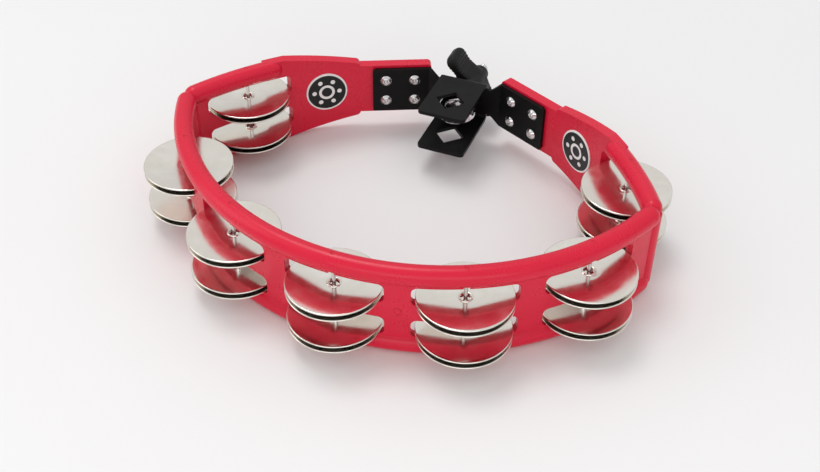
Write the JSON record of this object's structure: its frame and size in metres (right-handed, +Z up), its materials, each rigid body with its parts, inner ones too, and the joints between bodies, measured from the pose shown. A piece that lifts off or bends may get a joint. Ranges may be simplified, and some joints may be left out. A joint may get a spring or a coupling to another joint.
{
  "type": "tambourine",
  "caption": "Open-backed plastic tambourine with paired steel jingles in slots and a rear rod clamp with a wing nut.",
  "frame": {"origin": "below the middle of the whole object's box, on the surface that it lies on", "axes": "+Z up, through the ring; +X to the player's right along the width; +Y from the front arc towards the rod clamp and its wing nut"},
  "size_m": [0.2892, 0.2576, 0.058],
  "materials": {
    "red_plastic": "moulded, semi-gloss",
    "black_steel": "black powder coat",
    "rivet_steel": "bright plated",
    "badge": null,
    "bolt_chrome": "polished",
    "black_plastic": "moulded, ribbed",
    "insert_brass": "machined",
    "pin_steel": "bright drawn wire",
    "jingle_nickel": "nickel plated, polished"
  },
  "bodies": {
    "frame": {"frame": "red_plastic", "bracket": "black_steel", "rivets_left": "rivet_steel", "rivets_right": "rivet_steel", "badge_left": "badge", "badge_right": "badge", "jingle_pin_1": "pin_steel", "jingle_pin_2": "pin_steel", "jingle_pin_3": "pin_steel", "jingle_pin_4": "pin_steel", "jingle_pin_5": "pin_steel", "jingle_pin_6": "pin_steel", "jingle_pin_7": "pin_steel"},
    "eye_bolt": {"eye_bolt": "bolt_chrome"},
    "wing_nut": {"wing_nut": "black_plastic", "nut_insert": "insert_brass"},
    "jingle_1_lower_base": {"jingle_1_lower_base": "jingle_nickel"},
    "jingle_1_lower_top": {"jingle_1_lower_top": "jingle_nickel"},
    "jingle_1_upper_base": {"jingle_1_upper_base": "jingle_nickel"},
    "jingle_1_upper_top": {"jingle_1_upper_top": "jingle_nickel"},
    "jingle_2_lower_base": {"jingle_2_lower_base": "jingle_nickel"},
    "jingle_2_lower_top": {"jingle_2_lower_top": "jingle_nickel"},
    "jingle_2_upper_base": {"jingle_2_upper_base": "jingle_nickel"},
    "jingle_2_upper_top": {"jingle_2_upper_top": "jingle_nickel"},
    "jingle_3_lower_base": {"jingle_3_lower_base": "jingle_nickel"},
    "jingle_3_lower_top": {"jingle_3_lower_top": "jingle_nickel"},
    "jingle_3_upper_base": {"jingle_3_upper_base": "jingle_nickel"},
    "jingle_3_upper_top": {"jingle_3_upper_top": "jingle_nickel"},
    "jingle_4_lower_base": {"jingle_4_lower_base": "jingle_nickel"},
    "jingle_4_lower_top": {"jingle_4_lower_top": "jingle_nickel"},
    "jingle_4_upper_base": {"jingle_4_upper_base": "jingle_nickel"},
    "jingle_4_upper_top": {"jingle_4_upper_top": "jingle_nickel"},
    "jingle_5_lower_base": {"jingle_5_lower_base": "jingle_nickel"},
    "jingle_5_lower_top": {"jingle_5_lower_top": "jingle_nickel"},
    "jingle_5_upper_base": {"jingle_5_upper_base": "jingle_nickel"},
    "jingle_5_upper_top": {"jingle_5_upper_top": "jingle_nickel"},
    "jingle_6_lower_base": {"jingle_6_lower_base": "jingle_nickel"},
    "jingle_6_lower_top": {"jingle_6_lower_top": "jingle_nickel"},
    "jingle_6_upper_base": {"jingle_6_upper_base": "jingle_nickel"},
    "jingle_6_upper_top": {"jingle_6_upper_top": "jingle_nickel"},
    "jingle_7_lower_base": {"jingle_7_lower_base": "jingle_nickel"},
    "jingle_7_lower_top": {"jingle_7_lower_top": "jingle_nickel"},
    "jingle_7_upper_base": {"jingle_7_upper_base": "jingle_nickel"},
    "jingle_7_upper_top": {"jingle_7_upper_top": "jingle_nickel"}
  },
  "joints": [
    {"name": "wing_nut_turn", "type": "hinge", "parent": "frame", "child": "wing_nut", "pos_m": [0, 0.09376, 0.029], "axis": [0, 1, 0], "range_deg": [-360, 3420]},
    {"name": "eye_bolt_draw", "type": "slide", "parent": "frame", "child": "eye_bolt", "axis": [0, 1, 0], "range_m": [-0.01207, 0.00127]},
    {"name": "jingle_1_lower_base_slide", "type": "slide", "parent": "frame", "child": "jingle_1_lower_base", "axis": [0, 0, 1], "range_m": [0, 0.00322]},
    {"name": "jingle_1_lower_top_slide", "type": "slide", "parent": "jingle_1_lower_base", "child": "jingle_1_lower_top", "axis": [0, 0, 1], "range_m": [0, 0.00323]},
    {"name": "jingle_1_upper_base_slide", "type": "slide", "parent": "frame", "child": "jingle_1_upper_base", "axis": [0, 0, 1], "range_m": [0, 0.00322]},
    {"name": "jingle_1_upper_top_slide", "type": "slide", "parent": "jingle_1_upper_base", "child": "jingle_1_upper_top", "axis": [0, 0, 1], "range_m": [0, 0.00323]},
    {"name": "jingle_2_lower_base_slide", "type": "slide", "parent": "frame", "child": "jingle_2_lower_base", "axis": [0, 0, 1], "range_m": [0, 0.00322]},
    {"name": "jingle_2_lower_top_slide", "type": "slide", "parent": "jingle_2_lower_base", "child": "jingle_2_lower_top", "axis": [0, 0, 1], "range_m": [0, 0.00323]},
    {"name": "jingle_2_upper_base_slide", "type": "slide", "parent": "frame", "child": "jingle_2_upper_base", "axis": [0, 0, 1], "range_m": [0, 0.00322]},
    {"name": "jingle_2_upper_top_slide", "type": "slide", "parent": "jingle_2_upper_base", "child": "jingle_2_upper_top", "axis": [0, 0, 1], "range_m": [0, 0.00323]},
    {"name": "jingle_3_lower_base_slide", "type": "slide", "parent": "frame", "child": "jingle_3_lower_base", "axis": [0, 0, 1], "range_m": [0, 0.00322]},
    {"name": "jingle_3_lower_top_slide", "type": "slide", "parent": "jingle_3_lower_base", "child": "jingle_3_lower_top", "axis": [0, 0, 1], "range_m": [0, 0.00323]},
    {"name": "jingle_3_upper_base_slide", "type": "slide", "parent": "frame", "child": "jingle_3_upper_base", "axis": [0, 0, 1], "range_m": [0, 0.00322]},
    {"name": "jingle_3_upper_top_slide", "type": "slide", "parent": "jingle_3_upper_base", "child": "jingle_3_upper_top", "axis": [0, 0, 1], "range_m": [0, 0.00323]},
    {"name": "jingle_4_lower_base_slide", "type": "slide", "parent": "frame", "child": "jingle_4_lower_base", "axis": [0, 0, 1], "range_m": [0, 0.00322]},
    {"name": "jingle_4_lower_top_slide", "type": "slide", "parent": "jingle_4_lower_base", "child": "jingle_4_lower_top", "axis": [0, 0, 1], "range_m": [0, 0.00323]},
    {"name": "jingle_4_upper_base_slide", "type": "slide", "parent": "frame", "child": "jingle_4_upper_base", "axis": [0, 0, 1], "range_m": [0, 0.00322]},
    {"name": "jingle_4_upper_top_slide", "type": "slide", "parent": "jingle_4_upper_base", "child": "jingle_4_upper_top", "axis": [0, 0, 1], "range_m": [0, 0.00323]},
    {"name": "jingle_5_lower_base_slide", "type": "slide", "parent": "frame", "child": "jingle_5_lower_base", "axis": [0, 0, 1], "range_m": [0, 0.00322]},
    {"name": "jingle_5_lower_top_slide", "type": "slide", "parent": "jingle_5_lower_base", "child": "jingle_5_lower_top", "axis": [0, 0, 1], "range_m": [0, 0.00323]},
    {"name": "jingle_5_upper_base_slide", "type": "slide", "parent": "frame", "child": "jingle_5_upper_base", "axis": [0, 0, 1], "range_m": [0, 0.00322]},
    {"name": "jingle_5_upper_top_slide", "type": "slide", "parent": "jingle_5_upper_base", "child": "jingle_5_upper_top", "axis": [0, 0, 1], "range_m": [0, 0.00323]},
    {"name": "jingle_6_lower_base_slide", "type": "slide", "parent": "frame", "child": "jingle_6_lower_base", "axis": [0, 0, 1], "range_m": [0, 0.00322]},
    {"name": "jingle_6_lower_top_slide", "type": "slide", "parent": "jingle_6_lower_base", "child": "jingle_6_lower_top", "axis": [0, 0, 1], "range_m": [0, 0.00323]},
    {"name": "jingle_6_upper_base_slide", "type": "slide", "parent": "frame", "child": "jingle_6_upper_base", "axis": [0, 0, 1], "range_m": [0, 0.00322]},
    {"name": "jingle_6_upper_top_slide", "type": "slide", "parent": "jingle_6_upper_base", "child": "jingle_6_upper_top", "axis": [0, 0, 1], "range_m": [0, 0.00323]},
    {"name": "jingle_7_lower_base_slide", "type": "slide", "parent": "frame", "child": "jingle_7_lower_base", "axis": [0, 0, 1], "range_m": [0, 0.00322]},
    {"name": "jingle_7_lower_top_slide", "type": "slide", "parent": "jingle_7_lower_base", "child": "jingle_7_lower_top", "axis": [0, 0, 1], "range_m": [0, 0.00323]},
    {"name": "jingle_7_upper_base_slide", "type": "slide", "parent": "frame", "child": "jingle_7_upper_base", "axis": [0, 0, 1], "range_m": [0, 0.00322]},
    {"name": "jingle_7_upper_top_slide", "type": "slide", "parent": "jingle_7_upper_base", "child": "jingle_7_upper_top", "axis": [0, 0, 1], "range_m": [0, 0.00323]}
  ],
  "couplings": [
    {"joint": "eye_bolt_draw", "follows": "wing_nut_turn", "m_per_rad": -0.00020213}
  ]
}
